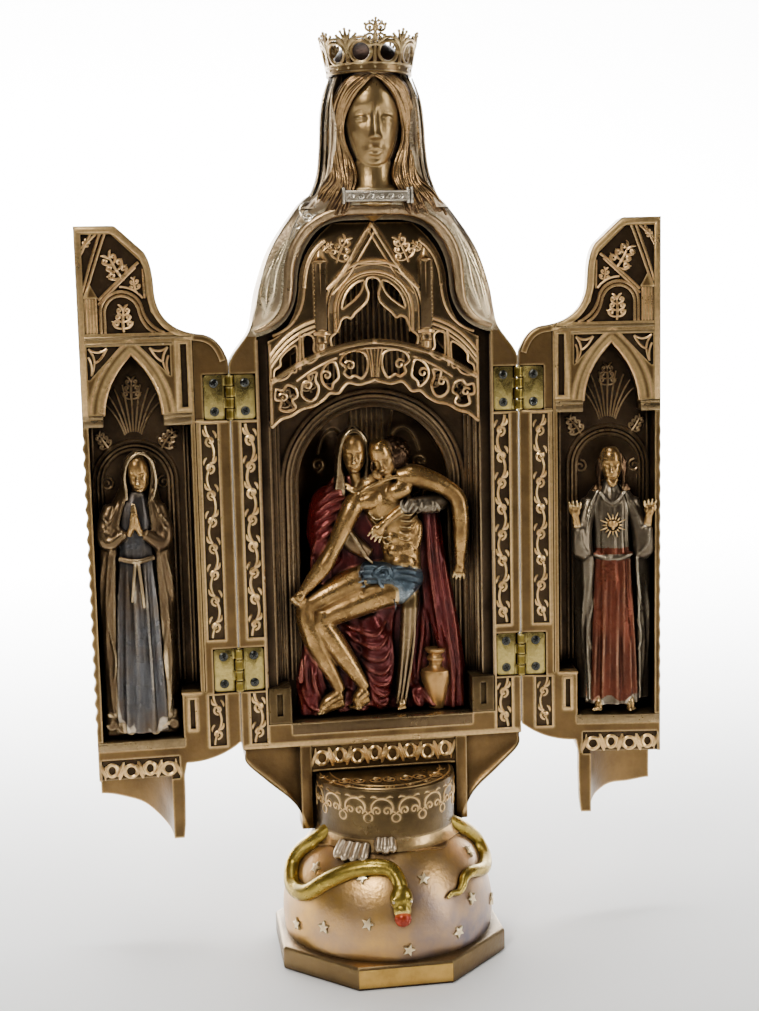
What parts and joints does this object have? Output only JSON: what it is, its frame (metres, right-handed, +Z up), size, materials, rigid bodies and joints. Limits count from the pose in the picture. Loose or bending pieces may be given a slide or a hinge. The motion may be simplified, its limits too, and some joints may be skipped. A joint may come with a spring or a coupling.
{
  "type": "triptych altarpiece",
  "caption": "Shrine figure of a crowned Madonna on a starry globe, opening on hinged doors onto a carved niche with a lamentation group.",
  "frame": {"origin": "middle of the plinth's flat underside", "axes": "+Z up through the crown, -Y towards the viewer, +X to the viewer's right"},
  "size_m": [0.1915, 0.0734, 0.3003],
  "materials": {
    "antique_bronze": "casting resin with an antiqued bronze finish, gold-brown on the high places and dark brown in the hollows",
    "gold_bronze": "the same resin, rubbed brighter to old gold",
    "dark_bronze": "the same resin, darker, with gilded edges",
    "tinted_bronze": "the same resin, washed with metallic dark red, blue-grey and silver over the bronze",
    "brass": "stamped brass, dulled, olive",
    "dark_steel": "small blackened cross-head screws"
  },
  "bodies": {
    "shrine": {"globe_base": "antique_bronze", "shrine_body": "antique_bronze", "crown": "gold_bronze", "tracery_screen": "dark_bronze", "pieta_group": "tinted_bronze", "left_upper_hinge_body_leaf": "brass", "left_upper_hinge_pin": "brass", "left_upper_hinge_body_screw_top": "dark_steel", "left_upper_hinge_body_screw_bottom": "dark_steel", "left_lower_hinge_body_leaf": "brass", "left_lower_hinge_pin": "brass", "left_lower_hinge_body_screw_top": "dark_steel", "left_lower_hinge_body_screw_bottom": "dark_steel", "right_upper_hinge_body_leaf": "brass", "right_upper_hinge_pin": "brass", "right_upper_hinge_body_screw_top": "dark_steel", "right_upper_hinge_body_screw_bottom": "dark_steel", "right_lower_hinge_body_leaf": "brass", "right_lower_hinge_pin": "brass", "right_lower_hinge_body_screw_top": "dark_steel", "right_lower_hinge_body_screw_bottom": "dark_steel"},
    "left_door": {"left_door": "antique_bronze", "praying_madonna": "tinted_bronze", "left_upper_hinge_door_leaf": "brass", "left_upper_hinge_door_screw_top": "dark_steel", "left_upper_hinge_door_screw_bottom": "dark_steel", "left_lower_hinge_door_leaf": "brass", "left_lower_hinge_door_screw_top": "dark_steel", "left_lower_hinge_door_screw_bottom": "dark_steel"},
    "right_door": {"right_door": "antique_bronze", "sacred_heart_figure": "tinted_bronze", "right_upper_hinge_door_leaf": "brass", "right_upper_hinge_door_screw_top": "dark_steel", "right_upper_hinge_door_screw_bottom": "dark_steel", "right_lower_hinge_door_leaf": "brass", "right_lower_hinge_door_screw_top": "dark_steel", "right_lower_hinge_door_screw_bottom": "dark_steel"}
  },
  "joints": [
    {"name": "left_door_hinge", "type": "hinge", "parent": "shrine", "child": "left_door", "pos_m": [-0.047, -0.00015, 0.1408], "axis": [0, 0, 1], "range_deg": [-1, 179]},
    {"name": "right_door_hinge", "type": "hinge", "parent": "shrine", "child": "right_door", "pos_m": [0.047, -0.00015, 0.1408], "axis": [0, 0, -1], "range_deg": [-9, 171]}
  ]
}
